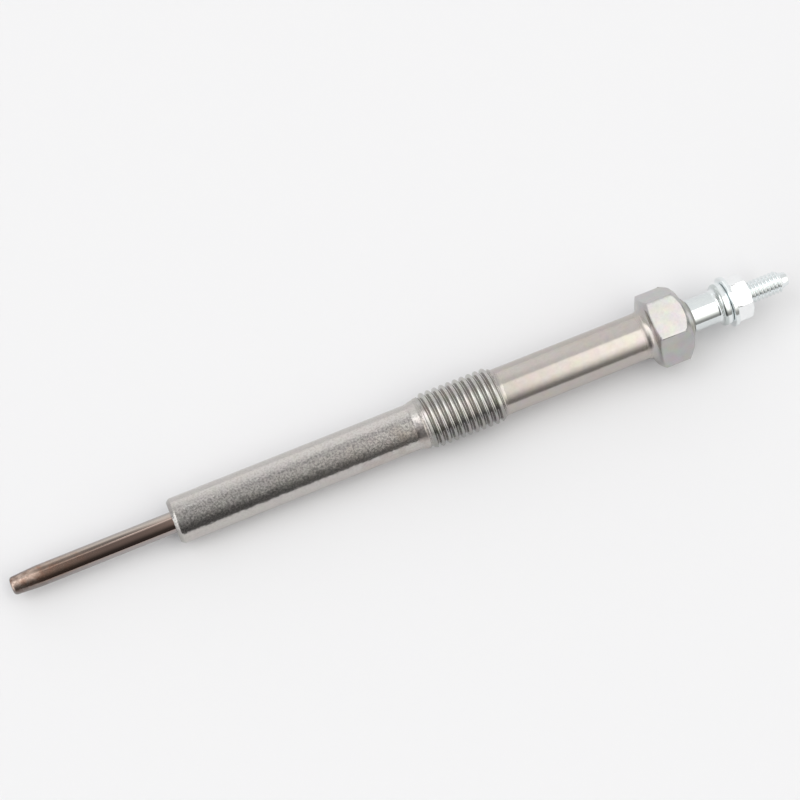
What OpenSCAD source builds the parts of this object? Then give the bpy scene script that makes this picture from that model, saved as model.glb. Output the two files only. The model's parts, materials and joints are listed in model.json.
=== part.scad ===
// Diesel glow plug, lying as it comes to rest on its hexagon and the rim of its nose barrel.
// Stations run along the plug's own axis, in millimetres from the heater tip.

/* [Heater sheath] */
// Outside diameter of the sheath tube
sheath_d = 3.7; // [3.4:0.05:4.4]
// Diameter of the closed tip, before its edge is rounded
sheath_tip_d = 3.1; // [2.8:0.05:3.4]
// Radius of the rounded tip edge
sheath_tip_round = 0.55; // [0.2:0.05:0.9]
// Length of the tapered tip
sheath_taper_l = 4.8; // [3:0.1:8]
// Length of sheath that stands out of the housing
sheath_out_l = 29.1; // [24:0.1:36]
// Length of sheath pressed into the housing
sheath_seat_l = 24; // [18:0.5:30]
// Wall of the sheath tube
sheath_wall = 0.45; // [0.35:0.01:0.55]
// Thickness of the closed end
sheath_tip_wall = 1; // [0.6:0.05:1.5]

/* [Heating element] */
// Diameter of the coil wire
coil_wire_d = 0.36; // [0.25:0.01:0.45]
// Powder between the coils and the sheath at the tip
coil_cover = 0.12; // [0.08:0.01:0.2]
// Turns of the heating coil
heating_turns = 13; // [8:1:16]
// Pitch of the heating coil
heating_pitch = 0.9; // [0.6:0.05:1.2]
// Turns of the control coil
control_turns = 15; // [10:1:18]
// Pitch of the control coil
control_pitch = 1.1; // [0.6:0.05:1.3]
// Length of the elastomer plug at the rear of the sheath
sheath_seal_l = 3; // [2:0.1:5]

/* [Centre rod] */
// Diameter of the rod in the housing
rod_d = 3; // [2.6:0.05:3.4]
// Diameter of the rod inside the sheath
rod_neck_d = 1.8; // [1.4:0.05:2.2]
// Length of the nose that the control coil is welded to
rod_nose_l = 3; // [1.5:0.1:5]
// Distance from the sheath to the full diameter of the rod
rod_step_gap = 1.5; // [1:0.1:4]
// Depth of the rod in the terminal stud
rod_socket_l = 4.2; // [2.5:0.1:4.6]

/* [Housing] */
// Diameter of the nose barrel
nose_d = 8.05; // [7.4:0.05:8.6]
// Length of the nose barrel
nose_l = 43.2; // [36:0.1:52]
// Radius of the rounded rim at the front of the nose
nose_round = 0.5; // [0.2:0.05:0.8]
// Length of the flare in front of the thread
flare_l = 2; // [1:0.1:3]
// Diameter at the top of the flare
flare_d = 8.9; // [8.7:0.05:9.2]
// Width of the groove between the flare and the first full turn
flare_groove = 0.5; // [0.3:0.05:1]
// Outside diameter of the mounting thread
thread_d = 9.86; // [9.7:0.02:10]
// Depth of the mounting thread
thread_depth = 0.72; // [0.5:0.02:0.8]
// Pitch of the mounting thread
thread_pitch = 1.25; // [1:0.05:1.5]
// Length of the full thread
thread_l = 12.5; // [8:0.1:16]
// Length of the cone where the thread runs out
runout_l = 0.9; // [0.5:0.1:2]
// Diameter of the upper barrel
barrel_d = 8.3; // [7.6:0.05:8.6]
// Length of the upper barrel
barrel_l = 27.8; // [20:0.1:36]
// Bore around the centre rod
bore_d = 4.6; // [4:0.05:5.2]

/* [Hexagon] */
// Hexagon across the flats
hex_af = 12; // [11:0.05:13]
// Length of the hexagon from its front face to the end of its rear chamfer
hex_l = 6.9; // [5:0.1:9]
// Chamfer at the front corners, along the axis
hex_front_chamfer = 0.45; // [0.2:0.05:0.8]
// Diameter where the rear chamfer ends
hex_crown_d = 9.7; // [9:0.1:10.5]
// Fillet between the upper barrel and the hexagon
hex_fillet = 1.25; // [0.5:0.05:1.5]
// Rise of the shallow cone behind the chamfer
crown_rise = 0.15; // [0.05:0.05:0.5]
// Outside diameter of the rolled lip
lip_d = 7; // [6.6:0.05:7.6]
// Height of the rolled lip above the cone
lip_l = 0.35; // [0.2:0.05:0.8]
// Radius of the lip's outer edge
lip_round = 0.2; // [0.1:0.05:0.3]

/* [Terminal seal] */
// Diameter of the seat for the ring and the bush
seat_d = 6.4; // [6:0.05:6.8]
// Depth of the seat from the end of the rear chamfer
seat_depth = 5.3; // [4.5:0.1:6]
// Thickness of the rolled lip over the bush
lip_cover = 0.5; // [0.3:0.05:0.8]
// Diameter of the bush where it passes the lip
bush_neck_d = 5.5; // [5:0.05:5.8]
// Height of the bush above the lip
bush_proud = 0.25; // [0.1:0.05:0.6]

/* [Terminal stud] */
// Diameter of the smooth shank
shank_d = 5.7; // [5.2:0.05:6.2]
// Length of the smooth shank
shank_l = 5.05; // [4:0.05:7]
// Diameter of the collar
collar_d = 7.55; // [7:0.05:8.2]
// Thickness of the collar
collar_l = 1.55; // [1.2:0.05:2.2]
// Radius of the collar's edges
collar_round = 0.5; // [0.2:0.05:0.55]
// Outside diameter of the terminal thread
stud_d = 3.94; // [3.86:0.02:4]
// Depth of the terminal thread
stud_depth = 0.42; // [0.3:0.02:0.46]
// Pitch of the terminal thread
stud_pitch = 0.7; // [0.5:0.05:0.8]
// Length of the threaded part behind the collar
stud_l = 10.45; // [7:0.05:14]
// Diameter of the dog point
dog_d = 2.6; // [2:0.05:3]
// Length of the dog point
dog_l = 1.1; // [0.6:0.05:2]
// Chamfer of the dog point
dog_chamfer = 0.3; // [0.1:0.05:0.5]

/* [Washer and nut] */
// Outside diameter of the washer
washer_d = 9; // [8:0.1:10]
// Hole of the washer
washer_hole_d = 4.3; // [4.1:0.05:4.6]
// Thickness of the washer
washer_t = 0.8; // [0.5:0.05:1.2]
// Nut across the flats
nut_af = 7; // [6.6:0.05:8]
// Thickness of the nut
nut_t = 3.2; // [2.4:0.1:4]
// Diameter of the nut's two end faces
nut_face_d = 6.3; // [5.8:0.05:6.8]
// Angle of the nut's chamfers
nut_chamfer_angle = 30; // [20:1:40]
// Diameter of the countersink at each end of the nut
nut_sink_d = 4.4; // [4.2:0.05:4.8]
// Turn of the nut against the hexagon
nut_turn = 8; // [0:1:59]

/* [Fits] */
// Radial play between the two terminal threads
thread_play = 0.03; // [0.02:0.01:0.06]
// Radial play around the coils and under the bush
slip_play = 0.02; // [0.01:0.01:0.05]

/* [Hidden] */
$fn = 96;
// Cuts run this far past the faces that they open
overcut = 1;
// Sides of the coil wire, and straight steps in each turn
wire_sides = 6;
turn_steps = 16;
// Shares of the pitch that are flat at the crest and at the root of a thread
crest_share = 1 / 8;
root_share = 1 / 4;
// Share of a turn that may be missing from a whole one
turn_slack = 0.01;

// Stations along the plug, from the tip to the terminal
nose_s = sheath_out_l;
flare_s = nose_s + nose_l;
thread_s = flare_s + flare_l + flare_groove;
runout_s = thread_s + thread_l;
barrel_s = runout_s + runout_l;
hex_s = barrel_s + barrel_l;
crown_s = hex_s + hex_l;
lip_s = crown_s + crown_rise;
lip_end_s = lip_s + lip_l;
seat_s = crown_s - seat_depth;
seat_end_s = lip_end_s - lip_cover;
sheath_end_s = nose_s + sheath_seat_l;
powder_end_s = sheath_end_s - sheath_seal_l;
shank_s = lip_end_s + bush_proud;
collar_s = shank_s + shank_l;
washer_s = collar_s + collar_l;
nut_s = washer_s + washer_t;
nut_end_s = nut_s + nut_t;
dog_s = washer_s + stud_l;
plug_l = dog_s + dog_l;

// Heating element
tip_inner_d = sheath_tip_d - 2 * sheath_wall;
sheath_inner_d = sheath_d - 2 * sheath_wall;
coil_mean_r = tip_inner_d / 2 - coil_cover - coil_wire_d / 2;
heating_s = sheath_tip_wall + coil_wire_d / 2;
control_s = heating_s + heating_turns * heating_pitch;
coil_end_s = control_s + control_turns * control_pitch;
neck_s = coil_end_s + coil_wire_d / 2;
rod_nose_d = (2 * coil_mean_r - coil_wire_d) * cos(180 / turn_steps);
rod_s = sheath_end_s + rod_step_gap;
rod_end_s = shank_s + rod_socket_l;
ring_cord_d = (seat_d - rod_d) / 2;
bush_s = seat_s + ring_cord_d;

// Threads
thread_root_d = thread_d - 2 * thread_depth;
runout_d = (thread_root_d + thread_d) / 2;
stud_root_d = stud_d - 2 * stud_depth;
nut_minor_d = stud_root_d + stud_depth / 2;
// The terminal's turns are counted back from the dog point
thread_middles = crests(thread_s, whole_turns(thread_l, thread_pitch), thread_pitch);
stud_turns = whole_turns(stud_l, stud_pitch);
stud_middles = crests(dog_s - stud_turns * stud_pitch, stud_turns, stud_pitch);

// Hexagons across their corners
hex_ac = hex_af / cos(30);
nut_ac = nut_af / cos(30);

// Lying plug: the angle at which the nose rim and the front edge of a flat touch one plane
rim_centre_s = nose_s + nose_round;
rest_reach = hex_s - rim_centre_s;
rest_rise = hex_af / 2 - nose_d / 2 + nose_round;
lie_angle = atan2(rest_rise, rest_reach) - asin(nose_round / norm([rest_reach, rest_rise]));
lie_height = hex_af / 2 * cos(lie_angle) - hex_s * sin(lie_angle);

// Puts a piece that stands on its axis into the lying plug, centred along X
module lying() {
  translate([-plug_l * cos(lie_angle) / 2, 0, lie_height])
    rotate([0, 90 - lie_angle, 0])
      children();
}

// A plain turned length from one station to another
module turned(d, from_s, to_s) {
  translate([0, 0, from_s])
    cylinder(d = d, h = to_s - from_s);
}

// Lengths of several diameters in a row, each given as diameter, first and last station, turned in one piece
module stepped(lengths) {
  sides = [for (part = lengths) each [[part[0] / 2, part[1]], [part[0] / 2, part[2]]]];
  first_s = sides[0][1];
  last_s = sides[len(sides) - 1][1];
  rotate_extrude()
    polygon(concat([[0, first_s]], sides, [[0, last_s]]));
}

// What a rounding takes off a square corner of a profile.
// The corner lies at the origin, with the material towards -X and +Y.
module front_edge(radius) {
  difference() {
    translate([-radius, -radius])
      square([2 * radius, 2 * radius]);
    translate([-radius, radius])
      circle(radius);
  }
}

// The same for a corner at the far end of a turned piece.
module rear_edge(radius) {
  mirror([0, 1])
    front_edge(radius);
}

// Whole turns of a thread in a length, and the middle of each turn's crest.
function whole_turns(length, pitch) = floor(length / pitch + turn_slack);
function crests(from_s, turns, pitch) = [for (k = [0 : turns - 1]) from_s + (k + 0.5) * pitch];

// One crest of a thread profile, as radius and station.
function crest_points(middle, crest_r, root_r, pitch) = [
  [root_r, middle - (1 - root_share) * pitch / 2],
  [crest_r, middle - crest_share * pitch / 2],
  [crest_r, middle + crest_share * pitch / 2],
  [root_r, middle + (1 - root_share) * pitch / 2]
];

// Profile of a thread with one ring for each turn.
function ring_points(middles, crest_d, root_d, pitch) =
  [for (m = middles) each crest_points(m, crest_d / 2, root_d / 2, pitch)];

// Turned thread between two plain ends at the root.
module ringed_thread(crest_d, root_d, middles, pitch, from_s, to_s) {
  front = [[0, from_s], [root_d / 2, from_s]];
  rear = [[root_d / 2, to_s], [0, to_s]];
  rotate_extrude()
    polygon(concat(front, ring_points(middles, crest_d, root_d, pitch), rear));
}

// Hexagon with a flat downwards when the plug lies.
module hexagon(corner_d, from_s, to_s, turn) {
  translate([0, 0, from_s])
    rotate(30 + turn)
      cylinder(d = corner_d, h = to_s - from_s, $fn = 6);
}

// Nose barrel, flare, thread, run-out and upper barrel, turned in one piece and carried into the hexagon
module housing_barrel() {
  front = [
    [0, nose_s], [nose_d / 2, nose_s], [nose_d / 2, flare_s], [flare_d / 2, flare_s + flare_l]
  ];
  rings = ring_points(thread_middles, thread_d, thread_root_d, thread_pitch);
  rear = [
    [runout_d / 2, runout_s], [barrel_d / 2, barrel_s], [barrel_d / 2, crown_s], [0, crown_s]
  ];
  rotate_extrude()
    difference() {
      polygon(concat(front, rings, rear));
      translate([nose_d / 2, nose_s])
        front_edge(nose_round);
    }
}

// Fillet in front of the hexagon
module hex_root() {
  rotate_extrude()
    difference() {
      translate([0, hex_s - hex_fillet])
        square([barrel_d / 2 + hex_fillet, hex_fillet + hex_front_chamfer]);
      translate([barrel_d / 2 + hex_fillet, hex_s - hex_fillet])
        circle(hex_fillet);
    }
}

// Hexagon with turned chamfers, shallow cone and rolled lip
module hex_head() {
  rear_chamfer = (hex_ac - hex_crown_d) / 2;
  intersection() {
    hexagon(hex_ac, hex_s, lip_end_s, 0);
    rotate_extrude()
      difference() {
        polygon([
          [0, hex_s], [hex_af / 2, hex_s], [hex_ac / 2, hex_s + hex_front_chamfer],
          [hex_ac / 2, crown_s - rear_chamfer], [hex_crown_d / 2, crown_s],
          [lip_d / 2, lip_s], [lip_d / 2, lip_end_s], [0, lip_end_s]
        ]);
        translate([lip_d / 2, lip_end_s])
          rear_edge(lip_round);
      }
  }
}

module housing() {
  color("#b9b3ac")
    lying()
      difference() {
        union() {
          housing_barrel();
          hex_root();
          hex_head();
        }
        stepped([
          [sheath_d, nose_s - overcut, sheath_end_s],
          [bore_d, sheath_end_s, seat_s],
          [seat_d, seat_s, seat_end_s],
          [bush_neck_d, seat_end_s, lip_end_s + overcut]
        ]);
      }
}

// Outline of the sheath, or of the space inside it, from a closed end to the rear
module sheath_profile(tip_d, tube_d, end_s, to_s) {
  polygon([
    [0, end_s], [tip_d / 2, end_s], [tube_d / 2, sheath_taper_l], [tube_d / 2, to_s], [0, to_s]
  ]);
}

module heater_sheath() {
  // Centre of the rounding that touches the end face and the tapered side
  slope = (sheath_d - sheath_tip_d) / 2 / sheath_taper_l;
  slant = sqrt(1 + slope * slope);
  round_r = sheath_tip_d / 2 + (slope - slant) * sheath_tip_round;
  color("#5a4238")
    lying()
      rotate_extrude()
        difference() {
          union() {
            polygon([
              [0, 0], [round_r, 0],
              [round_r + sheath_tip_round / slant, sheath_tip_round * (1 - slope / slant)],
              [sheath_d / 2, sheath_taper_l], [sheath_d / 2, sheath_end_s], [0, sheath_end_s]
            ]);
            translate([round_r, sheath_tip_round])
              circle(sheath_tip_round);
          }
          sheath_profile(tip_inner_d, sheath_inner_d, sheath_tip_wall, sheath_end_s + overcut);
        }
}

// A wire coil with its ends cut along the axis, so that two coils meet face to face
module wire_coil(from_s, turns, pitch) {
  steps = turns * turn_steps;
  wire_r = coil_wire_d / 2;
  points = [
    for (step = [0 : steps])
      for (side = [0 : wire_sides - 1])
        let (
          turn = 360 * step / turn_steps,
          around = 360 * side / wire_sides,
          r = coil_mean_r + wire_r * cos(around)
        )
        [r * cos(turn), r * sin(turn), from_s + pitch * step / turn_steps + wire_r * sin(around)]
  ];
  walls = [
    for (step = [0 : steps - 1])
      for (side = [0 : wire_sides - 1])
        let (
          a = step * wire_sides + side,
          b = step * wire_sides + (side + 1) % wire_sides
        )
        each [[a, b, b + wire_sides], [a, b + wire_sides, a + wire_sides]]
  ];
  front = [for (side = [wire_sides - 1 : -1 : 0]) side];
  rear = [for (side = [0 : wire_sides - 1]) steps * wire_sides + side];
  polyhedron(points, concat(walls, [front, rear]));
}

module heating_coil() {
  color("#8a7a70")
    lying()
      wire_coil(heating_s, heating_turns, heating_pitch);
}

module control_coil() {
  color("#a08c78")
    lying()
      wire_coil(control_s, control_turns, control_pitch);
}

module insulating_powder() {
  channel_w = coil_wire_d + 2 * slip_play;
  color("#e9e4d8")
    lying()
      rotate_extrude()
        difference() {
          sheath_profile(tip_inner_d, sheath_inner_d, sheath_tip_wall, powder_end_s);
          // Ring-shaped room for the coils, and the way for the rod behind it
          translate([coil_mean_r - channel_w / 2, sheath_tip_wall - overcut])
            square([channel_w, neck_s - sheath_tip_wall + overcut]);
          translate([0, coil_end_s - rod_nose_l])
            square([rod_nose_d / 2, rod_nose_l + coil_wire_d]);
          translate([0, neck_s])
            square([rod_neck_d / 2, powder_end_s - neck_s + overcut]);
        }
}

module sheath_seal() {
  color("#2b2b2d")
    lying()
      difference() {
        turned(sheath_inner_d, powder_end_s, sheath_end_s);
        turned(rod_neck_d, powder_end_s - overcut, sheath_end_s + overcut);
      }
}

module center_rod() {
  color("#9a9a9c")
    lying()
      stepped([
        [rod_nose_d, coil_end_s - rod_nose_l, neck_s],
        [rod_neck_d, neck_s, rod_s],
        [rod_d, rod_s, rod_end_s]
      ]);
}

module o_ring() {
  color("#1f1f21")
    lying()
      translate([0, 0, seat_s + ring_cord_d / 2])
        rotate_extrude()
          translate([(seat_d + rod_d) / 4, 0])
            circle(d = ring_cord_d);
}

module insulating_bush() {
  color("#3a3230")
    lying()
      difference() {
        stepped([[seat_d, bush_s, seat_end_s], [bush_neck_d, seat_end_s, shank_s]]);
        turned(rod_d + 2 * slip_play, bush_s - overcut, shank_s + overcut);
      }
}

module terminal_stud() {
  shank = [
    [0, shank_s], [shank_d / 2, shank_s], [shank_d / 2, collar_s],
    [collar_d / 2, collar_s], [collar_d / 2, washer_s], [stud_root_d / 2, washer_s]
  ];
  rings = ring_points(stud_middles, stud_d, stud_root_d, stud_pitch);
  dog = [
    [stud_root_d / 2, dog_s], [dog_d / 2, dog_s], [dog_d / 2, plug_l - dog_chamfer],
    [dog_d / 2 - dog_chamfer, plug_l], [0, plug_l]
  ];
  color("#d4dadc")
    lying()
      difference() {
        rotate_extrude()
          difference() {
            polygon(concat(shank, rings, dog));
            translate([collar_d / 2, collar_s])
              front_edge(collar_round);
            translate([collar_d / 2, washer_s])
              rear_edge(collar_round);
          }
        turned(rod_d, shank_s - overcut, rod_end_s);
      }
}

module washer() {
  color("#dfe3e4")
    lying()
      difference() {
        turned(washer_d, washer_s, nut_s);
        turned(washer_hole_d, washer_s - overcut, nut_s + overcut);
      }
}

module terminal_nut() {
  chamfer_l = (nut_ac - nut_face_d) / 2 * tan(nut_chamfer_angle);
  sink_l = (nut_sink_d - nut_minor_d) / 2;
  color("#e2e6e8")
    lying()
      difference() {
        intersection() {
          hexagon(nut_ac, nut_s, nut_end_s, nut_turn);
          rotate_extrude()
            polygon([
              [0, nut_s], [nut_face_d / 2, nut_s], [nut_ac / 2, nut_s + chamfer_l],
              [nut_ac / 2, nut_end_s - chamfer_l], [nut_face_d / 2, nut_end_s], [0, nut_end_s]
            ]);
        }
        ringed_thread(stud_d + 2 * thread_play, nut_minor_d, stud_middles, stud_pitch, washer_s, dog_s);
        translate([0, 0, nut_s])
          cylinder(d1 = nut_sink_d, d2 = nut_minor_d, h = sink_l);
        translate([0, 0, nut_end_s - sink_l])
          cylinder(d1 = nut_minor_d, d2 = nut_sink_d, h = sink_l);
      }
}

housing();
heater_sheath();
heating_coil();
control_coil();
insulating_powder();
sheath_seal();
center_rod();
o_ring();
insulating_bush();
terminal_stud();
washer();
terminal_nut();
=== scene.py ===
# %% [markdown]
# # A diesel glow plug, dressed in Blender
#
# A glow plug warms the air in a cold diesel engine. A thin sheath at one end glows, a thread holds the
# plug in the cylinder head, and a nut at the other end clamps the cable. Its solids come from the CAD
# step and lie on a surface. This lesson builds finer surfaces over the pieces that show, and gives every
# piece its finish. It could all be drawn from nothing, but then the sizes could drift. So the solids are
# loaded first, as a fixed frame.

# %% Load the frame
import json
import math

import bmesh
import bpy
from mathutils import Matrix, Vector


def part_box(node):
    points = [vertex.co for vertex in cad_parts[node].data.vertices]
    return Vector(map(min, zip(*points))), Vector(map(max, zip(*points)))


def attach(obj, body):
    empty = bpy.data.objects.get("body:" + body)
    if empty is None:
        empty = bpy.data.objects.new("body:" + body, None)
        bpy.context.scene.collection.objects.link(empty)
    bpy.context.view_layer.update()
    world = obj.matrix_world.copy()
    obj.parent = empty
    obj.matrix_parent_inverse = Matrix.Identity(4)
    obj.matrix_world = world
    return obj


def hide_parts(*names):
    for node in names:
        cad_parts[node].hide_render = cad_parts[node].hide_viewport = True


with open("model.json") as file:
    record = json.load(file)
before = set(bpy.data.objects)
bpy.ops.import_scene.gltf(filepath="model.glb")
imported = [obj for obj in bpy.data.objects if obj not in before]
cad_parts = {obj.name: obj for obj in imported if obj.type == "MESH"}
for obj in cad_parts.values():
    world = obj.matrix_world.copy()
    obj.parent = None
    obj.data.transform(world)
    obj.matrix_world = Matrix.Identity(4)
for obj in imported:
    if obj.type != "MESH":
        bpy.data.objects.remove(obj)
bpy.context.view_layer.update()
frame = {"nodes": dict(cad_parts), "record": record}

# %% [markdown]
# ## The plug's own axis
#
# Nearly every piece of the plug is turned, rolled or pressed around one axis. The pieces could be
# modelled lying down, where they end up, but then every corner would need trigonometry. It is easier to
# model in millimetres around an upright axis, with stations that count from the heater tip, and to lay
# each finished piece down with one matrix. The record states the mounting thread's axis, and the
# sheath's box gives the tip, so the matrix follows the solids by itself.

# %% Axis and lying matrix
MM = 0.001
mounts = {mount["name"]: mount for mount in frame["record"]["mounts"]}
thread_mount = mounts["mounting_thread"]
along = -Vector(thread_mount["axis"]).normalized()
across = Vector((0, 1, 0))
down = across.cross(along)
tip_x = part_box("heater_sheath")[0][0]
thread_middle = Vector(thread_mount["pos_m"])
tip = thread_middle + along * ((tip_x - thread_middle.x) / along.x)
turn_to_lie = Matrix((down, across, along)).transposed().to_4x4()
lying = Matrix.Translation(tip) @ turn_to_lie @ Matrix.Scale(MM, 4)
print("tip at", tuple(round(value, 5) for value in tip))

# %% [markdown]
# ## Camera
#
# The photograph looks down on the plug from about 400 mm. A camera could be aimed with a constraint, but
# three angles say more about the view. Seen from straight above, the camera leans a little towards the
# tip and more towards the front, and it is rolled so that the plug climbs to the right. Those angles,
# the aim and the distance are all that the view needs.

# %% Directions of the view
lean_to_tip = math.radians(5.99)
lean_to_front = math.radians(14)
roll = math.radians(21.65)

upright = -down * math.cos(lean_to_front) - across * math.sin(lean_to_front)
to_camera = upright * math.cos(lean_to_tip) - along * math.sin(lean_to_tip)
seen_along = (along - to_camera * along.dot(to_camera)).normalized()
seen_below = seen_along.cross(to_camera)
right = seen_along * math.cos(roll) + seen_below * math.sin(roll)
lower = seen_below * math.cos(roll) - seen_along * math.sin(roll)
print("towards the camera:", tuple(round(value, 4) for value in to_camera))

# %% Camera
image_px = 800
focal_px = 2371
sensor_mm = 36
camera_distance = 402.2
camera_reach_m = 20
aim_station = 71.94
aim_behind = 5.04
aim = tip + (along * aim_station - seen_below * aim_behind) * MM

lens = bpy.data.cameras.new("long_lens")
lens.sensor_width = sensor_mm
lens.lens = focal_px * sensor_mm / image_px
lens.clip_end = camera_reach_m
camera = bpy.data.objects.new("camera", lens)
camera.matrix_world = Matrix((right, -lower, to_camera)).transposed().to_4x4()
camera.location = aim + to_camera * camera_distance * MM
bpy.context.collection.objects.link(camera)
bpy.context.scene.camera = camera
print("lens", lens.lens, "mm, camera at", tuple(round(value, 4) for value in camera.location))

# %% [markdown]
# ## Turned pieces
#
# A lathe makes a round piece from one outline, and so does a spin. Cylinders and cones could be joined
# instead, but then each joint would need its own rounding. Here an outline is a short chain of corners,
# given as radius, station and, where an edge is rounded, the rounding. A vertex bevel rounds those
# corners while the outline is still a wire, which costs nothing and gives true arcs.

# %% Draw and turn an outline
STEPS = 96
ARC_STEPS = 6


def draw_outline(bm, outline, closed=False):
    """Draw a wire through (radius, station[, rounding]) corners and return its vertices and edges."""
    corners = [bm.verts.new((corner[0], 0, corner[1])) for corner in outline]
    pairs = list(zip(corners, corners[1:]))
    if closed:
        pairs.append((corners[-1], corners[0]))
    for pair in pairs:
        bm.edges.new(pair)
    for vert, corner in zip(corners, outline):
        if len(corner) > 2:
            bmesh.ops.bevel(
                bm, geom=[vert], affect="VERTICES", offset=corner[2],
                segments=ARC_STEPS, profile=0.5, material=-1,
            )
    edges = [edge for edge in bm.edges if edge.is_wire]
    verts = list({vert for edge in edges for vert in edge.verts})
    return verts + edges


def turn_on_lathe(bm, outline, closed=False):
    """Spin an outline once around the axis."""
    bmesh.ops.spin(
        bm, geom=draw_outline(bm, outline, closed), cent=(0, 0, 0), axis=(0, 0, 1),
        angle=math.tau, steps=STEPS, use_merge=True,
    )


# %% [markdown]
# ## From a shape to a piece
#
# A shape that has just been modelled stands upright in millimetres, with doubled vertices where its
# lengths meet. Its seams are merged first, and its normals turned outwards after that, because they can
# only agree across a closed seam. The object could then be turned to lie down, but the lying matrix goes
# into the mesh instead, so that the object stays at the origin as the CAD nodes do. Edges are kept sharp
# by their angle, and weighted normals keep wide faces flat beside their narrow roundings.

# %% Lay a piece down
MERGE_MM = 0.0005
SLIVER_MM = MERGE_MM / 10
SHARP_ANGLE = math.radians(28)
pieces = {}


def lay_down(bm, name):
    """Close a piece's seams, lay it in the frame and let it stand for the CAD node of the same name."""
    bmesh.ops.remove_doubles(bm, verts=bm.verts, dist=MERGE_MM)
    bmesh.ops.dissolve_degenerate(bm, edges=bm.edges, dist=SLIVER_MM)
    bmesh.ops.recalc_face_normals(bm, faces=bm.faces)
    open_edges = sum(not edge.is_manifold for edge in bm.edges)
    bmesh.ops.transform(bm, matrix=lying, verts=bm.verts)
    mesh = bpy.data.meshes.new(name)
    bm.to_mesh(mesh)
    bm.free()
    mesh.shade_smooth()
    mesh.set_sharp_from_angle(angle=SHARP_ANGLE)
    piece = bpy.data.objects.new(name + "_skin", mesh)
    bpy.context.collection.objects.link(piece)
    even_normals = piece.modifiers.new("even_normals", "WEIGHTED_NORMAL")
    even_normals.keep_sharp = True
    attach(piece, "root")
    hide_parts(name)
    pieces[name] = piece
    print(name, len(mesh.polygons), "faces,", open_edges, "open edges")


# %% [markdown]
# ## Heater sheath
#
# The sheath is the thin tube that glows. It is drawn from steel, and its closed tip is tapered and
# rounded. A plain rod would look the same from outside, but the outline goes round the wall instead, so
# that the piece is a real tube with room for the coils.

# %% Heater sheath
sheath_r = 1.85
sheath_wall = 0.45
sheath_taper = 4.8
taper_round = 0.8
sheath_tip_r = 1.55
sheath_tip_wall = 1.0
tip_round = 0.55
nose_s = 29.1
sheath_pressed_in = 24
sheath_end_s = nose_s + sheath_pressed_in
sheath_end_round = 0.1

bm = bmesh.new()
turn_on_lathe(bm, [
    (0, 0),
    (sheath_tip_r, 0, tip_round),
    (sheath_r, sheath_taper, taper_round),
    (sheath_r, sheath_end_s, sheath_end_round),
    (sheath_r - sheath_wall, sheath_end_s),
    (sheath_r - sheath_wall, sheath_taper),
    (sheath_tip_r - sheath_wall, sheath_tip_wall),
    (0, sheath_tip_wall),
])
lay_down(bm, "heater_sheath")

# %% [markdown]
# ## Rolled threads
#
# The plug has two rolled threads, one that holds it in the engine and one for the nut. A screw modifier
# could wind them, but it can't trim their ends. Here the outline of one turn is spun with a lift of one
# pitch and then repeated turn by turn. After a whole turn the end of the outline meets its own start, so
# merging doubles closes the flank. The ends are trimmed by the turned blank: where the thread would
# stand out of the blank's cones and cylinders it is pressed back onto them, and what runs past the two
# ends is pressed into a plain rim there. Those rims have the same steps as a turned length, so the
# lengths join without a seam.

# %% Press a thread onto its blank
def blank_radius(blank, station):
    """Radius of a turned blank at one station, between its (station, radius) corners."""
    for (s0, r0), (s1, r1) in zip(blank, blank[1:]):
        if station <= s1:
            return r0 + (r1 - r0) * max(0.0, (station - s0) / (s1 - s0))
    return blank[-1][1]


def press_onto_blank(verts, blank):
    """Press what stands out of a blank back onto it, and what runs past its ends into their rims."""
    front_s, rear_s = blank[0][0], blank[-1][0]
    for vert in verts:
        radius = math.hypot(vert.co.x, vert.co.y)
        press = min(1.0, blank_radius(blank, vert.co.z) / radius)
        vert.co.x *= press
        vert.co.y *= press
        vert.co.z = min(max(vert.co.z, front_s), rear_s)


# %% Roll a thread
ROOT_SHARE = 0.14
CREST_SHARE = 0.3
ROOT_ARC = 0.065
CREST_ARC = 0.145


def roll_thread(bm, root_r, crest_r, pitch, crest_s, blank):
    """Roll a right-hand thread on a blank, whose first and last lengths are plain.
    A crest passes crest_s where the thread faces straight down."""
    front_s, rear_s = blank[0][0], blank[-1][0]
    first_s = front_s - pitch
    turns = math.ceil((rear_s - front_s) / pitch) + 2
    shift = round((crest_s - 0.5 * pitch - first_s) / pitch % 1 * STEPS) / STEPS
    flat = 0.5 * ROOT_SHARE * pitch
    half_crest = 0.5 * CREST_SHARE * pitch
    root_arc = ROOT_ARC * pitch
    crest_arc = CREST_ARC * pitch
    old_faces = set(bm.faces)
    outline = draw_outline(bm, [
        (root_r, first_s),
        (root_r, first_s + flat, root_arc),
        (crest_r, first_s + 0.5 * pitch - half_crest, crest_arc),
        (crest_r, first_s + 0.5 * pitch + half_crest, crest_arc),
        (root_r, first_s + pitch - flat, root_arc),
        (root_r, first_s + pitch),
    ])
    bmesh.ops.spin(
        bm, geom=outline, cent=(0, 0, 0), axis=(0, 0, 1), dvec=(0, 0, pitch / STEPS),
        angle=math.tau, steps=STEPS, use_merge=False,
    )
    one_turn = [face for face in bm.faces if face not in old_faces]
    for turn in range(1, turns):
        copied = bmesh.ops.duplicate(bm, geom=one_turn)["geom"]
        lifted = [item for item in copied if isinstance(item, bmesh.types.BMVert)]
        bmesh.ops.translate(bm, verts=lifted, vec=(0, 0, turn * pitch))
    verts = list({vert for face in bm.faces if face not in old_faces for vert in face.verts})
    bmesh.ops.rotate(
        bm, verts=verts, cent=(0, 0, 0), matrix=Matrix.Rotation(-shift * math.tau, 3, "Z"),
    )
    press_onto_blank(verts, blank)
    print("thread:", turns, "turns of", pitch, "mm rolled")


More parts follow.
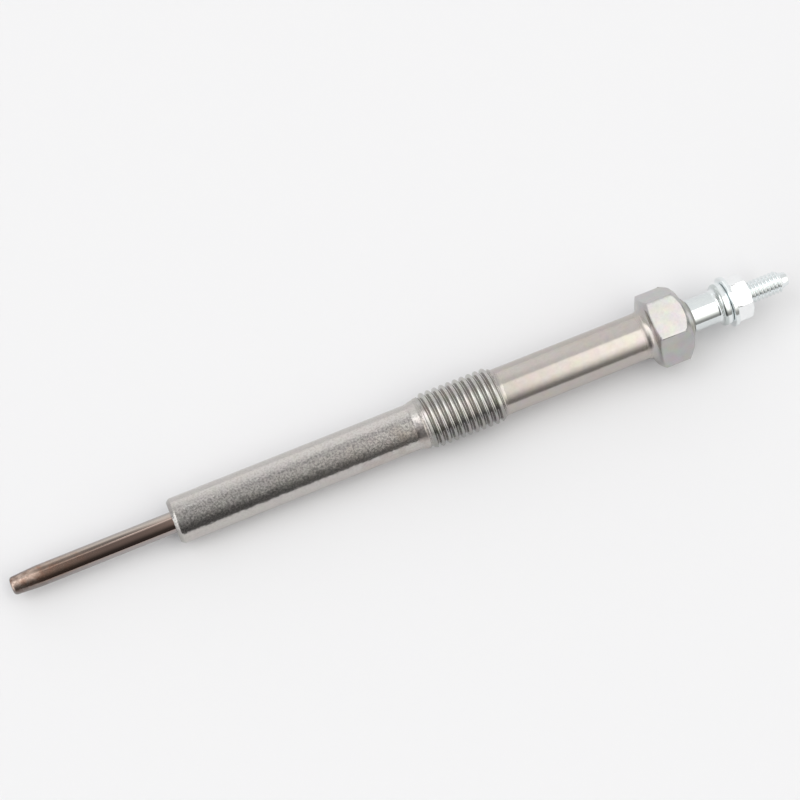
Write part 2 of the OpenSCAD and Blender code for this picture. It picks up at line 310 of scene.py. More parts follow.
# %% [markdown]
# ## Hexagons
#
# The housing and the nut each have a hexagon with chamfered ends. A six-sided prism could be cut with a
# cone, but booleans leave untidy faces. Here the hexagon is turned as a round collar and then pressed
# flat: each vertex of the collar's two rims moves in to the flat, and along the axis to where the
# chamfer's cone meets that flat. The curved edges of a real chamfered hexagon come out of that by
# themselves.

# %% Press a hexagon
HALF_FLAT = math.pi / 6
RIM_TOLERANCE = 0.001
NEAR_FLAT = 0.99
CORNER_STEPS = 4
EDGE_STEPS = 2


def distance_from_axis(vert):
    return math.hypot(vert.co.x, vert.co.y)


def press_hexagon(bm, corner_r, flat_r, front, rear, corner_round, edge_round):
    """Press a turned collar of corner_r into a hexagon; front and rear give each chamfer's
    (radius, station, slope) where its cone meets the end face. Round its corners and its other edges."""
    rim = {vert for vert in bm.verts if abs(distance_from_axis(vert) - corner_r) < RIM_TOLERANCE}
    middle_s = (front[1] + rear[1]) / 2
    for vert in rim:
        angle = math.atan2(vert.co.y, vert.co.x)
        from_flat = (angle + HALF_FLAT) % (2 * HALF_FLAT) - HALF_FLAT
        radius = flat_r / math.cos(from_flat)
        face_r, face_s, slope = front if vert.co.z < middle_s else rear
        vert.co = (
            radius * math.cos(angle),
            radius * math.sin(angle),
            face_s + (radius - face_r) * slope,
        )
    flats = {face for face in bm.faces if sum(vert in rim for vert in face.verts) == 4}
    corners = [
        edge for edge in bm.edges
        if flats.issuperset(edge.link_faces) and edge.calc_face_angle(0) > SHARP_ANGLE
    ]
    bmesh.ops.bevel(
        bm, geom=corners, affect="EDGES", offset=corner_round,
        segments=CORNER_STEPS, profile=0.5, material=-1,
    )
    chamfers = [
        edge for edge in bm.edges
        if edge.calc_face_angle(0) > SHARP_ANGLE
        and all(flat_r * NEAR_FLAT < distance_from_axis(vert) for vert in edge.verts)
    ]
    bmesh.ops.bevel(
        bm, geom=chamfers, affect="EDGES", offset=edge_round,
        segments=EDGE_STEPS, profile=0.5, material=-1,
    )
    print("hexagon:", len(corners), "corners and", len(chamfers), "chamfer edges rounded")


# %% [markdown]
# ## Housing
#
# The housing is one piece of steel from the nose to the rolled lip. It could be built as five pieces
# that touch, but seams would show where the real one has none. Two turned lengths and one rolled thread
# meet rim to rim instead, and merging those rims makes a single closed surface with a real bore.

# %% Nose of the housing
nose_r = mounts["nose_pilot"]["dims"]["r_mm"]
nose_face_s = nose_s - 0.3
nose_chamfer = 0.5
nose_chamfer_s = nose_s + 0.35
nose_round = 0.15
mouth_round = 0.1
flare_s = 72.3
thread_front_s = flare_s - 0.8

bm = bmesh.new()
turn_on_lathe(bm, [
    (sheath_r, sheath_end_s),
    (sheath_r, nose_face_s, mouth_round),
    (nose_r - nose_chamfer, nose_face_s, nose_round),
    (nose_r, nose_chamfer_s, nose_round),
    (nose_r, thread_front_s),
])
print("nose from", round(nose_face_s, 2), "to", round(thread_front_s, 2), "mm")

# %% Sizes of barrel and hexagon
barrel_r = 4.15
barrel_s = 88.2
thread_rear_s = barrel_s + 0.5
hex_s = 116.0
hex_fillet = 1.5
hex_face_r = 5.75
hex_flat_r = 6.0
hex_corner_r = hex_flat_r / math.cos(HALF_FLAT)
hex_front_chamfer = 0.48
hex_front_slope = 0.404
hex_rear_chamfer = 1.48
hex_rear_slope = -1.0
hex_corner_round = 0.36
hex_edge_round = 0.1
crown_r = 5.45
crown_face_s = 122.3
crown_round = 0.12
print("hexagon", 2 * hex_flat_r, "mm across flats")

# %% Sizes of lip and bore
crown_s = 122.9
lip_r = 3.6
lip_draft = 0.1
lip_foot_round = 0.1
lip_round = 0.3
lip_end_s = 123.4
lip_fall = 0.08
lip_mouth_round = 0.08
bush_neck_r = 2.75
seat_r = 3.2
seat_s = 117.6
bore_r = 2.3
print("bore", 2 * bore_r, "mm, lip to", lip_end_s, "mm")

# %% Turn barrel, hexagon, lip and bore
turn_on_lathe(bm, [
    (barrel_r, thread_rear_s),
    (barrel_r, hex_s, hex_fillet),
    (hex_face_r, hex_s),
    (hex_corner_r, hex_s + hex_front_chamfer),
    (hex_corner_r, crown_face_s - hex_rear_chamfer),
    (crown_r, crown_face_s, crown_round),
    (lip_r + lip_draft, crown_face_s + lip_draft, lip_foot_round),
    (lip_r, lip_end_s - lip_fall, lip_round),
    (bush_neck_r, lip_end_s, lip_mouth_round),
    (bush_neck_r, crown_s),
    (seat_r, crown_s),
    (seat_r, seat_s),
    (bore_r, seat_s),
    (bore_r, sheath_end_s),
    (sheath_r, sheath_end_s),
])
press_hexagon(
    bm, hex_corner_r, hex_flat_r,
    front=(hex_face_r, hex_s, hex_front_slope), rear=(crown_r, crown_face_s, hex_rear_slope),
    corner_round=hex_corner_round, edge_round=hex_edge_round,
)

# %% Mounting thread
thread_r = thread_mount["dims"]["r_mm"]
thread_depth = 0.68
thread_root_r = thread_r - thread_depth
thread_pitch = 1.25
thread_crest_s = 75.1
nose_end_s = flare_s - 0.2
flare_foot_s, flare_foot_r = flare_s + 0.1, nose_r + 0.03
flare_top_s, flare_top_r = flare_s + 1.5, 4.43
ledge_s, ledge_r = flare_s + 2.1, 4.49
run_in_s = flare_s + 2.95
run_out_s = barrel_s - 1.5
shoulder_s, shoulder_r = barrel_s - 1.2, thread_r - 0.05
fillet_s, fillet_r = barrel_s - 0.1, barrel_r + 0.05
barrel_start_s = barrel_s + 0.3
thread_blank = [
    (thread_front_s, nose_r),
    (nose_end_s, nose_r),
    (flare_foot_s, flare_foot_r),
    (flare_top_s, flare_top_r),
    (ledge_s, ledge_r),
    (run_in_s, thread_r),
    (run_out_s, thread_r),
    (shoulder_s, shoulder_r),
    (fillet_s, fillet_r),
    (barrel_start_s, barrel_r),
    (thread_rear_s, barrel_r),
]
roll_thread(bm, thread_root_r, thread_r, thread_pitch, thread_crest_s, thread_blank)
lay_down(bm, "housing")

# %% [markdown]
# ## Terminal stud
#
# The stud carries the current in. It has a smooth shank and a round collar, a rolled M4 thread behind
# the collar, and a dog point that guides the nut on. It is made as the housing is: two turned lengths
# with a thread between them, merged into one surface, because the two helpers already do all of it.

# %% Shank, collar and dog point
socket_r = 1.5
socket_s = 127.85
shank_s = 123.65
shank_r = 2.85
shank_round = 0.15
shank_fillet = 0.6
collar_s = 128.85
collar_r = 3.775
collar_front_round = 0.5
collar_rear_round = 0.45
washer_s = 130.55
stud_root_r = 1.64
dog_s = 141.0
dog_r = 1.4
dog_end_r = 1.12
dog_round = 0.2
plug_end_s = 142.1

bm = bmesh.new()
turn_on_lathe(bm, [
    (0, socket_s),
    (socket_r, socket_s),
    (socket_r, shank_s),
    (shank_r, shank_s, shank_round),
    (shank_r, collar_s, shank_fillet),
    (collar_r, collar_s, collar_front_round),
    (collar_r, washer_s, collar_rear_round),
    (stud_root_r, washer_s),
])
turn_on_lathe(bm, [
    (dog_r, dog_s),
    (dog_end_r, plug_end_s, dog_round),
    (0, plug_end_s),
])
print("stud from", shank_s, "to", plug_end_s, "mm")

# %% M4 thread
stud_r = 1.97
stud_pitch = 0.7
stud_crest_s = 135.0
stud_neck_s = washer_s + 0.5
stud_run_in_s = washer_s + 1.0
stud_run_out_s = dog_s - 0.6
stud_shoulder_s, stud_shoulder_r = dog_s - 0.2, dog_r + 0.12
stud_blank = [
    (washer_s, stud_root_r),
    (stud_neck_s, stud_root_r),
    (stud_run_in_s, stud_r),
    (stud_run_out_s, stud_r),
    (stud_shoulder_s, stud_shoulder_r),
    (dog_s, dog_r),
]
roll_thread(bm, stud_root_r, stud_r, stud_pitch, stud_crest_s, stud_blank)
lay_down(bm, "terminal_stud")

# %% [markdown]
# ## Washer
#
# The washer spreads the nut's force over the collar. It is stamped from sheet, which rolls one side's
# edge more than the other's. A thin cylinder with a hole would have four equal sharp edges, so a closed
# outline is turned instead, with a rounding of its own at each corner.

# %% Washer
washer_r = 4.5
washer_hole_r = 2.15
washer_burr_round = 0.08
washer_roll_round = 0.18
hole_burr_round = 0.05
hole_roll_round = 0.1
nut_s = 131.35

bm = bmesh.new()
turn_on_lathe(bm, [
    (washer_hole_r, washer_s, hole_burr_round),
    (washer_r, washer_s, washer_burr_round),
    (washer_r, nut_s, washer_roll_round),
    (washer_hole_r, nut_s, hole_roll_round),
], closed=True)
lay_down(bm, "washer")

# %% [markdown]
# ## Nut
#
# The nut clamps the cable's eye. It is a small hexagon with a chamfer at both ends, the one on the
# washer's side only slight, and a countersunk hole. It is pressed from a turned ring as the big hexagon
# is, and then turned a few degrees against it, as the real one happened to stop.

# %% Nut
nut_end_s = nut_s + 3.2
nut_flat_r = 3.5
nut_corner_r = nut_flat_r / math.cos(HALF_FLAT)
nut_face_r = 3.15
nut_slope = math.tan(math.radians(30))
nut_chamfer = (nut_corner_r - nut_face_r) * nut_slope
nut_seat_r = 3.42
nut_seat_slope = 0.4
nut_seat_chamfer = (nut_corner_r - nut_seat_r) * nut_seat_slope
nut_bore_r = stud_r + 0.02
nut_sink_r = 2.2
nut_sink = 0.2
nut_corner_round = 0.07
nut_edge_round = 0.06
nut_turn = math.radians(8)

bm = bmesh.new()
turn_on_lathe(bm, [
    (nut_sink_r, nut_s),
    (nut_seat_r, nut_s),
    (nut_corner_r, nut_s + nut_seat_chamfer),
    (nut_corner_r, nut_end_s - nut_chamfer),
    (nut_face_r, nut_end_s),
    (nut_sink_r, nut_end_s),
    (nut_bore_r, nut_end_s - nut_sink),
    (nut_bore_r, nut_s + nut_sink),
], closed=True)
press_hexagon(
    bm, nut_corner_r, nut_flat_r,
    front=(nut_seat_r, nut_s, nut_seat_slope), rear=(nut_face_r, nut_end_s, -nut_slope),
    corner_round=nut_corner_round, edge_round=nut_edge_round,
)
bmesh.ops.rotate(bm, verts=bm.verts, cent=(0, 0, 0), matrix=Matrix.Rotation(nut_turn, 3, "Z"))
lay_down(bm, "terminal_nut")

# %% [markdown]
# ## Shader arithmetic
#
# Every finish below is worked out from the surface's place on the plug. Its nodes could be added and
# linked one by one, but then a sum of three terms takes a page. A small class wraps a socket instead, so
# that sums are written as ordinary Python, and one method adds any other node.


# %% Shader helper
def join(value, socket):
    """Link a flow to a socket, or set a constant on it."""
    if isinstance(value, Flow):
        value.tree.links.new(value.socket, socket)
    else:
        socket.default_value = value


class Flow:
    """A value that flows out of a socket; arithmetic on it adds Math nodes."""

    def __init__(self, tree, socket=None):
        self.tree = tree
        self.socket = socket

    def node(self, kind, settings=None, sockets=None, out=0):
        """Add a node: its settings first, then the values or links of its sockets."""
        made = self.tree.nodes.new("ShaderNode" + kind)
        for name, value in (settings or {}).items():
            setattr(made, name, value)
        for key, value in (sockets or {}).items():
            join(value, made.inputs[key])
        return Flow(self.tree, made.outputs[out])

    def math(self, operation, first, second=0.0):
        return self.node("Math", {"operation": operation}, {0: first, 1: second})

    def __add__(self, other):
        return self.math("ADD", self, other)

    __radd__ = __add__

    def __sub__(self, other):
        return self.math("SUBTRACT", self, other)

    def __rsub__(self, other):
        return self.math("SUBTRACT", other, self)

    def __mul__(self, other):
        return self.math("MULTIPLY", self, other)

    __rmul__ = __mul__

    def ramp(self, low, high, start=0.0, end=1.0):
        """Start below low, end above high, and a smooth change between them."""
        return self.node(
            "MapRange", {"interpolation_type": "SMOOTHSTEP"},
            {"Value": self, "From Min": low, "From Max": high, "To Min": start, "To Max": end},
        )

    def fall(self, low, high):
        """1 below low, 0 above high, and a smooth change between them."""
        return self.ramp(low, high, 1.0, 0.0)

    def blend(self, first, second):
        """Go from first to second as this value goes from 0 to 1."""
        return first + self * (second - first)

    def mix(self, first, second):
        """Blend two colours by this value."""
        return self.node("MixRGB", None, {"Fac": self, "Color1": first, "Color2": second})

    def axis(self, letter):
        """One part of a vector: X, Y or Z."""
        return self.node("SeparateXYZ", None, {"Vector": self}, letter)

    def vector(self, operation, other):
        """This vector with another, by a Vector Math node."""
        return self.node("VectorMath", {"operation": operation}, {0: self, 1: other})


# %% [markdown]
# ## Place, noise and grain
#
# All metal here is bare or plated, so its colour is the tint of its reflection. Each finish reads the
# place on the plug in millimetres, through one mapping that undoes the lying matrix: X points down, Y to
# the back and Z along the plug. Image textures could hold the same marks, but they would need
# unwrapping, and noise in millimetres has the right size on every piece by itself. A grain tips the
# normal instead of bumping it, so that it can be held back along the plug, where a tipped mirror would
# catch a window.


# %% Start of a finish
def start_finish(name):
    """A new material, its shader, and the surface's place on the upright plug in millimetres."""
    material = bpy.data.materials.new(name)
    material.use_nodes = True
    tree = material.node_tree
    on_plug = Flow(tree).node("Mapping", {"vector_type": "TEXTURE"}, {
        "Vector": Flow(tree).node("TexCoord", out="Object"),
        "Location": tip, "Rotation": turn_to_lie.to_euler(), "Scale": (MM, MM, MM),
    })
    return material, tree.nodes["Principled BSDF"], on_plug


def feed(shader, **flows):
    """Link flows, or set constants, on a shader's sockets; names use _ for a space."""
    for name, value in flows.items():
        join(value, shader.inputs[name.replace("_", " ")])


def noise(place, scale, detail, roughness=0.5, out=0):
    """Noise with features of about 1 / scale millimetres."""
    return place.node("TexNoise", None, {
        "Vector": place, "Scale": scale, "Detail": detail, "Roughness": roughness,
    }, out)


# %% Grain
GRAIN_ALONG = 0.06


def grained_normal(place, scale, tilt):
    """The surface's normal, tipped a little in each grain, and less along the plug than across."""
    grain = noise(place, scale, detail=3.0, out="Color").vector("SUBTRACT", (0.5, 0.5, 0.5))
    sideways = grain.vector("MULTIPLY", (GRAIN_ALONG, 1, 1))
    tipped = place.node("VectorMath", {"operation": "SCALE"}, {0: sideways, "Scale": tilt})
    facing = place.node("NewGeometry", out="Normal")
    return place.node("VectorMath", {"operation": "NORMALIZE"}, {0: facing.vector("ADD", tipped)})


# %% [markdown]
# ## Satin nickel
#
# The housing is nickel plated, and each length of it was worked in its own way: the nose is matt and
# flecked, the thread is rolled, with painted shade in its roots and on its front side, the barrel is
# smooth and warm, and the hexagon has a faint rainbow sheen. Five materials could be split over the
# faces, but then each border would be a hard line. One material with soft masks along the plug lets the
# lengths run into each other.

# %% Nickel: lengths of the housing
nickel, nickel_shader, on_housing = start_finish("satin_nickel")
across_plug = on_housing.axis("Y")
station = on_housing.axis("Z")
on_rim = station.fall(nose_s + 0.1, nose_s + 0.5)
on_nose = station.fall(flare_s + 1.2, flare_s + 2.4)
on_flare = station.ramp(flare_s - 0.8, flare_s + 0.2) * on_nose
on_thread = (1 - on_nose) * station.fall(barrel_s - 1, barrel_s + 0.5)
on_fillet = station.ramp(hex_s - 2.0, hex_s - 1.5) * station.fall(hex_s - 1.2, hex_s - 0.6)
on_hex = station.ramp(hex_s - 1.5, hex_s + 0.5)
on_crown = station.ramp(crown_s - 1.1, crown_s - 0.4)
print("lengths of the housing:", len(nickel.node_tree.nodes), "nodes")

# %% Nickel: colour of each length
nose_nickel = (0.55, 0.524, 0.5, 1)
worn_rim = (0.40, 0.385, 0.37, 1)
brown_stain = (0.43, 0.365, 0.325, 1)
brown_share = 0.6
barrel_nickel = (0.49, 0.448, 0.417, 1)
hex_nickel = (0.46, 0.447, 0.435, 1)
# painted shade: a darker colour for the thread's roots, set against the lighter crests
root_painted_shade = (0.42, 0.405, 0.385, 1)
crest_nickel = (0.54, 0.525, 0.5, 1)
# painted shade: a dark grey for the thread's front side
front_shade_grey = (0.2, 0.193, 0.188, 1)
front_shade_share = 0.62

cloud = noise(on_housing, scale=0.35, detail=2.0)
by_thread = station.ramp(52, 70) * across_plug.fall(-1.0, 1.0)
brown = cloud.ramp(0.35, 0.65) * by_thread * brown_share
nose_colour = brown.mix(on_rim.mix(nose_nickel, worn_rim), brown_stain)
bare = on_nose.mix(barrel_nickel, nose_colour)

crosswise = on_housing.vector("MULTIPLY", (1, 1, 0))
from_axis = crosswise.node("VectorMath", {"operation": "LENGTH"}, {0: crosswise}, "Value")
# painted shade in the thread's roots, fading to the crest colour by the distance from the axis
painted_root_shading = from_axis.ramp(thread_root_r, thread_r).mix(root_painted_shade, crest_nickel)
# painted shade: the thread's front side is darkened towards this grey
front_in_shade = across_plug.fall(-3.6, -2.6)
rolled = on_thread.mix(bare, (front_shade_share * front_in_shade).mix(painted_root_shading, front_shade_grey))
even = on_hex.mix(rolled, hex_nickel)
print("with their colours:", len(nickel.node_tree.nodes), "nodes")

# %% Nickel: sheen, flecks and grain
dark_fleck = (0.2, 0.19, 0.187, 1)
fleck_share = 0.06
nose_fleck_share = 0.54
sheen_share = 0.08
nose_sheen_loss = 0.04
hex_sheen_gain = 0.06
grain_scale = 2.4
grain_tilt = 0.06
nose_grain_tilt = 0.48

sheen = noise(on_housing, scale=0.55, detail=3.0, out="Color")
sheen_shown = sheen_share - nose_sheen_loss * on_nose + hex_sheen_gain * on_hex
tinted = sheen_shown.mix(even, sheen)
quiet_front = across_plug.ramp(-3.1, -2.0, 0.3, 1.0)
quiet_back = across_plug.ramp(0.3, 1.6, 1.0, 0.25)
coarse = on_nose * quiet_front * quiet_back
fleck = noise(on_housing, scale=2.8, detail=3.0, roughness=0.6)
flecks = fleck.ramp(0.42, 0.64) * (fleck_share + nose_fleck_share * coarse)
flecked = flecks.mix(tinted, dark_fleck)
grain = grained_normal(on_housing, grain_scale, grain_tilt + nose_grain_tilt * coarse)
print("with flecks and grain:", len(nickel.node_tree.nodes), "nodes")

# %% Nickel: roughness
nickel_rough = 0.17
flare_rough = 0.1
fillet_rough = 0.12
crown_rough = 0.2
cloud_rough = 0.04

worked = flare_rough * on_flare + fillet_rough * on_fillet + crown_rough * on_crown
rough = nickel_rough + worked + cloud_rough * cloud
feed(nickel_shader, Base_Color=flecked, Roughness=rough, Normal=grain, Metallic=1.0)
print(nickel.name, len(nickel.node_tree.nodes), "nodes")

# %% [markdown]
# ## Heat-tinted sheath
#
# The sheath has been heated, and heat leaves oxide colours on steel: grey and polished near the nose,
# brown towards the tip, with darker patches at the very end. A colour ramp along the plug could show
# that, but the tints also differ from the back of the sheath to its front. Below its top the sheath
# gets painted shade, darker towards the tip. So two shades are mixed for each end first, the painted
# shade comes over them, and the patches come over that.

# %% Sheath: where the heat was
sheath_finish, sheath_shader, on_sheath = start_finish("heat_tinted_sheath")
# painted shade: everything below the sheath's top band takes darker colours
below = on_sheath.axis("X").ramp(-1.4, -0.8)
behind = on_sheath.axis("Y").ramp(-0.3, 1.3)
sheath_station = on_sheath.axis("Z")
toward_tip = sheath_station.fall(0, 20)
at_tip = sheath_station.fall(2, 7)
haze = noise(on_sheath, scale=0.6, detail=3.0)
patch = noise(on_sheath, scale=1.1, detail=4.0, roughness=0.6)
print("heat on the sheath:", len(sheath_finish.node_tree.nodes), "nodes")

# %% Sheath: oxide colours
cool_front = (0.40, 0.285, 0.24, 1)
cool_back = (0.46, 0.415, 0.375, 1)
hot_front = (0.44, 0.29, 0.215, 1)
hot_back = (0.40, 0.315, 0.265, 1)
tip_tan = (0.47, 0.37, 0.315, 1)
rust_brown = (0.42, 0.25, 0.18, 1)
# painted shade colours below the top band, lighter near the nose and darker towards the tip
cool_painted_shade = (0.37, 0.34, 0.33, 1)
hot_painted_shade = (0.24, 0.215, 0.205, 1)
burnt = (0.15, 0.10, 0.08, 1)
burnt_share = 0.2
tip_burnt_share = 0.5

cool = behind.mix(cool_front, cool_back)
hot = behind.mix(hot_front, hot_back)
steel = at_tip.mix(toward_tip.mix(cool, hot), tip_tan)
rust = (haze.ramp(0.45, 0.7) * toward_tip).mix(steel, rust_brown)
# painted shade below the top band
shaded = below.mix(rust, toward_tip.mix(cool_painted_shade, hot_painted_shade))
patches = patch.ramp(0.35, 0.65) * (burnt_share * toward_tip + tip_burnt_share * at_tip)
oxide = patches.mix(shaded, burnt)
print("with oxide colours:", len(sheath_finish.node_tree.nodes), "nodes")

# %% Sheath: roughness
sheath_rough = 0.05
heat_rough = 0.12
patch_rough = 0.16
haze_rough = 0.04

scaled = heat_rough * toward_tip + patch_rough * at_tip * patch
feed(
    sheath_shader,
    Base_Color=oxide, Roughness=sheath_rough + scaled + haze_rough * haze, Metallic=1.0,
)
print(sheath_finish.name, len(sheath_finish.node_tree.nodes), "nodes")

# %% [markdown]
# ## Zinc plating
#
# The stud, the washer and the nut are zinc plated, which is bright and a little blue. The nut gets a
# lighter copy of the zinc, which is painted light, and the collar's front edge and the shank get painted
# shade. A plain mirror would look like glass, so the plating is clouded between two shades, and the
# painted shade comes from masks by station on the same material.

# %% Bright zinc
# painted shade colour for the collar's front edge and the shank
painted_shade_zinc = (0.5, 0.54, 0.53, 1)
edge_painted_shade = 0.8
shank_painted_shade = 0.3
zinc_rough = 0.06
zinc_cloud_rough = 0.06


def bright_zinc(name, low, high):
    """Zinc plating clouded between two shades, with painted shade on the collar's front edge and on the
    shank.
    """
    material, shader, on_plug = start_finish(name)
    plating = noise(on_plug, scale=1.5, detail=3.0)
    along_plug = on_plug.axis("Z")
    collar_front = along_plug.fall(collar_s + 0.5, collar_s + 0.8)
    on_edge = along_plug.ramp(collar_s - 0.1, collar_s + 0.1) * collar_front
    on_shank = along_plug.fall(collar_s - 1.0, collar_s - 0.2)
    plated = plating.mix((*low, 1), (*high, 1))
    # painted shade on the collar's front edge and on the shank
    painted_shade = edge_painted_shade * on_edge + shank_painted_shade * on_shank
    feed(
        shader,
        Base_Color=painted_shade.mix(plated, painted_shade_zinc),
        Roughness=zinc_rough + zinc_cloud_rough * plating,
        Metallic=1.0,
    )
    print(name, len(material.node_tree.nodes), "nodes")
    return material


zinc = bright_zinc("bright_zinc", (0.77, 0.82, 0.83), (0.89, 0.91, 0.91))
# painted light: a lighter copy of the zinc, worn by the nut
lit_copy_zinc = bright_zinc("lit_copy_zinc", (0.90, 0.92, 0.92), (0.96, 0.965, 0.965))

# %% [markdown]
# ## Finishes inside the plug
#
# The coils, the powder, the seals, the rod and the bush are hidden or nearly so, and their CAD shapes
# are good enough. A flat colour would do for a view from outside, but the pieces are also looked at one
# by one. So one small function gives each two shades of its own colour in a fine cloud.

# %% Finishes inside the plug
hidden_cloud_rough = 0.1


def plain_finish(name, low, high, scale, rough, metallic):
    """A finish for a hidden piece: two shades of one colour in a fine cloud."""
    material, shader, on_plug = start_finish(name)
    shade = noise(on_plug, scale, detail=3.0)
    feed(
        shader,
        Base_Color=shade.mix((*low, 1), (*high, 1)),
        Roughness=rough + hidden_cloud_rough * shade,
        Metallic=metallic,
    )
    print(name, len(material.node_tree.nodes), "nodes")
    return material


# %% Wire, rubber, powder, steel and resin
wire = plain_finish(
    "resistance_wire", (0.36, 0.33, 0.30), (0.50, 0.46, 0.42), scale=3.0, rough=0.3, metallic=1.0,
)
rubber = plain_finish(
    "elastomer", (0.020, 0.020, 0.022), (0.035, 0.035, 0.037), scale=2.0, rough=0.6, metallic=0.0,
)
powder = plain_finish(
    "magnesia", (0.80, 0.78, 0.73), (0.88, 0.86, 0.81), scale=4.0, rough=0.8, metallic=0.0,
)
rod_steel = plain_finish(
    "drawn_steel", (0.48, 0.48, 0.49), (0.60, 0.60, 0.61), scale=1.5, rough=0.3, metallic=1.0,
)
bush_resin = plain_finish(
    "moulded_bush", (0.34, 0.33, 0.31), (0.42, 0.41, 0.39), scale=3.0, rough=0.5, metallic=0.0,
)

# %% [markdown]
# ## Dressing
#
# Each piece of the plug is one metal, powder or resin, so it carries one material. The five pieces that
# were built above get theirs, and the CAD nodes that stay get theirs in the same loop, so that none can
# be forgotten.

# %% Dress every piece
dressing = {
    "housing": nickel,
    "heater_sheath": sheath_finish,
    "terminal_stud": zinc,
    "washer": zinc,
    "terminal_nut": lit_copy_zinc,
    "heating_coil": wire,
    "control_coil": wire,
    "insulating_powder": powder,
    "sheath_seal": rubber,
    "o_ring": rubber,
    "center_rod": rod_steel,
    "insulating_bush": bush_resin,
}
for name, material in dressing.items():
    dressed = pieces.get(name) or frame["nodes"][name]
    dressed.data.materials.clear()
    dressed.data.materials.append(material)
print(len(dressing), "pieces dressed")

# %% [markdown]
# ## Floor
#
# The plug lies on a pale matt sheet. A curved backdrop could be used, but the camera looks down and
# never sees a horizon, so one large flat face is enough. It has no gloss of its own, because the
# photograph shows only a soft shadow on it.

# %% Floor
floor_half = 3.0
sheet_white = (0.8, 0.802, 0.82, 1)
sheet_rough = 0.8

bm = bmesh.new()
bmesh.ops.create_grid(bm, x_segments=1, y_segments=1, size=floor_half)
floor_mesh = bpy.data.meshes.new("floor")
bm.to_mesh(floor_mesh)
bm.free()
floor = bpy.data.objects.new("floor", floor_mesh)
bpy.context.collection.objects.link(floor)
paper = bpy.data.materials.new("pale_sheet")
paper.use_nodes = True
feed(
    paper.node_tree.nodes["Principled BSDF"],
    Base_Color=sheet_white, Roughness=sheet_rough, Specular_IOR_Level=0.0,
)
floor_mesh.materials.append(paper)
print("floor", 2 * floor_half, "m wide")

# %% [markdown]
# ## Key lamp
#
# One lamp behind the plug throws the soft shadow that lies in front of it. A sun would draw that shadow
# too hard, so it is a small area lamp. Its four sides are given per metre of its height, as a direction
# would be, and its energy follows from its area, so that it keeps its brightness when it is resized.

# %% Key lamp
key_height = 0.9
key_left = -0.12
key_right = -0.04
key_front = 0.62
key_back = 0.78
key_level = 1.3

key = bpy.data.lights.new("key", "AREA")
key.shape = "RECTANGLE"
key.size = (key_right - key_left) * key_height
key.size_y = (key_back - key_front) * key_height
key.energy = key_level * math.pi * key.size * key.size_y
key_lamp = bpy.data.objects.new("key", key)
key_lamp.location = (
    (key_left + key_right) / 2 * key_height, (key_front + key_back) / 2 * key_height, key_height,
)
bpy.context.collection.objects.link(key_lamp)
print("key lamp of", round(key.energy, 4), "W")

# %% [markdown]
# ## Tent
#
# Polished metal shows what is around it, so the white tent over the plug matters as much as the lamp.
# Real panels could be modelled, but each would need its own light. The world is painted by direction
# instead: to_front counts degrees from straight up towards the photographer, and x goes from the tip's
# side to the terminal's. There is an even strip at the back. A bright window stands over the barrel and
# the terminal, and a small one at the left lights the tip, the flare and the fillet. Over the nose and
# the sheath the tent is darker, with one thin line, and all of it darkens towards the front, which draws
# the dark line along every round piece. Only its far ends are brighter there.

# %% Tent: directions
far_edge = (0.3, 0.5)
end_edge = (0.6, 0.85)
terminal_side = (0.2, 0.206)
window_side = (0.109, 0.121)
sheath_side = (-0.035, -0.02)
left_side = (-0.2, -0.125)

world = bpy.data.worlds.new("tent")
bpy.context.scene.world = world
world.use_nodes = True
direction = Flow(world.node_tree).node("TexCoord", out="Generated")
x, y, z = (direction.axis(letter) for letter in "XYZ")
to_front = direction.math("ARCTAN2", 0 - y, z) * math.degrees(1)
aside = direction.math("ABSOLUTE", x)
far = aside.ramp(*far_edge)
at_end = aside.ramp(*end_edge)
on_terminal = x.ramp(*terminal_side)
on_right = x.ramp(*window_side)
on_middle = x.ramp(*sheath_side)
on_left = x.fall(*left_side)
print("tent's directions:", len(world.node_tree.nodes), "nodes")

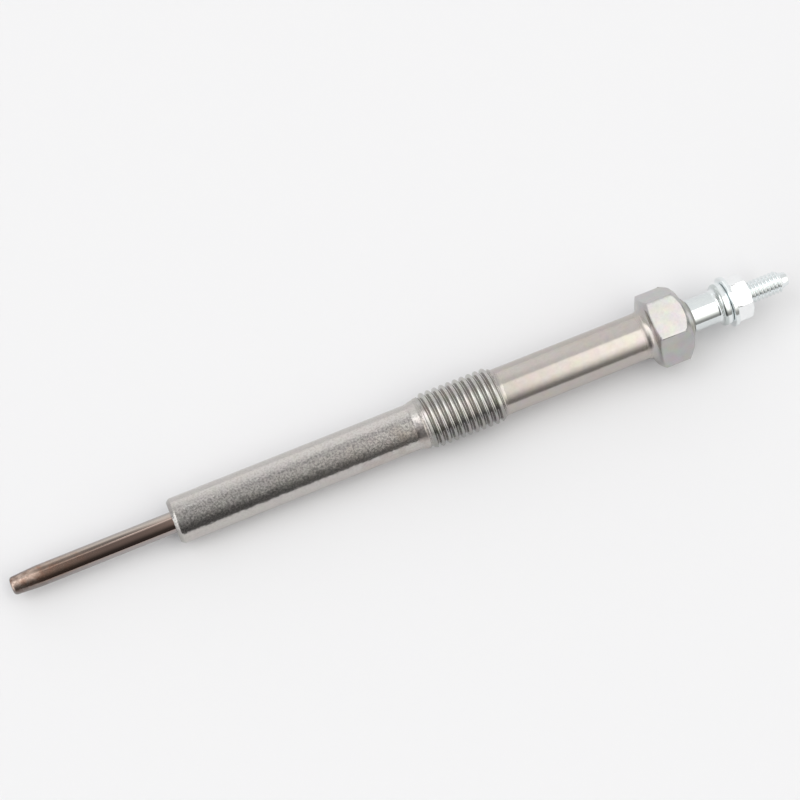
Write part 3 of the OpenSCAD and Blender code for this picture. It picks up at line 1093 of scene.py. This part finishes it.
# %% Tent: strip at the back and window over the barrel
strip_level = 1.15
terminal_level = 0.95
side_level = 0.8
window_level = 2.15
far_level = 1.4
front_level = 0.3
far_front_level = 0.45
end_level = 1.6
window_edge = (-19, -15)
window_fade = (25, 80)

back = far.blend(on_terminal.blend(strip_level, terminal_level), side_level)
far_front = at_end.blend(far_front_level, end_level)
front = far.blend(front_level, far_front)
window = to_front.ramp(*window_fade).blend(far.blend(window_level, far_level), front)
in_window = to_front.ramp(*window_edge)
over_right = in_window.blend(back, window)
print("with the window:", len(world.node_tree.nodes), "nodes")

# %% Tent: over the nose, the left window and over the sheath
nose_level = 1.17
nose_near = 0.46
nose_far = 0.06
nose_edge = (-54, -24)
nose_fade = (-2, 60)
left_level = 2.15
left_edge = (-45, -30)
left_fade = (-15, 40)
sheath_near = 0.29
sheath_far = 0.05
sheath_edge = (-84, -56)
sheath_fade = (8, 66)
line_level = 0.65
line_rise = (-33, -28)
line_fall = (-25, -20)

under_strip = to_front.ramp(*nose_fade).blend(nose_near, nose_far)
over_nose = nose_level * to_front.ramp(*nose_edge).blend(1.0, under_strip)
left_window = to_front.ramp(*left_fade).blend(left_level, far.blend(over_nose, far_front))
over_left = to_front.ramp(*left_edge).blend(back, left_window)
under_lamp = to_front.ramp(*sheath_fade).blend(sheath_near, sheath_far)
thin_line = to_front.ramp(*line_rise) * to_front.fall(*line_fall)
over_sheath = to_front.ramp(*sheath_edge).blend(strip_level, under_lamp) + line_level * thin_line
print("with nose, left and sheath:", len(world.node_tree.nodes), "nodes")

# %% Tent: all together
white = (1, 1, 1, 1)
warm_white = (1, 0.985, 0.94, 1)
middle = on_middle.blend(over_sheath, over_nose)
feed(
    world.node_tree.nodes["Background"],
    Color=(on_right * in_window).mix(white, warm_white),
    Strength=on_left.blend(on_right.blend(middle, over_right), over_left),
)
print("tent:", len(world.node_tree.nodes), "nodes")

# %% [markdown]
# ## View settings
#
# The photograph's pale metal has no film look. A filmic view would bend its greys, so the view is set to
# Standard, in which a colour renders about as it is written.

# %% View settings
bpy.context.scene.view_settings.view_transform = "Standard"
print("view:", bpy.context.scene.view_settings.view_transform)
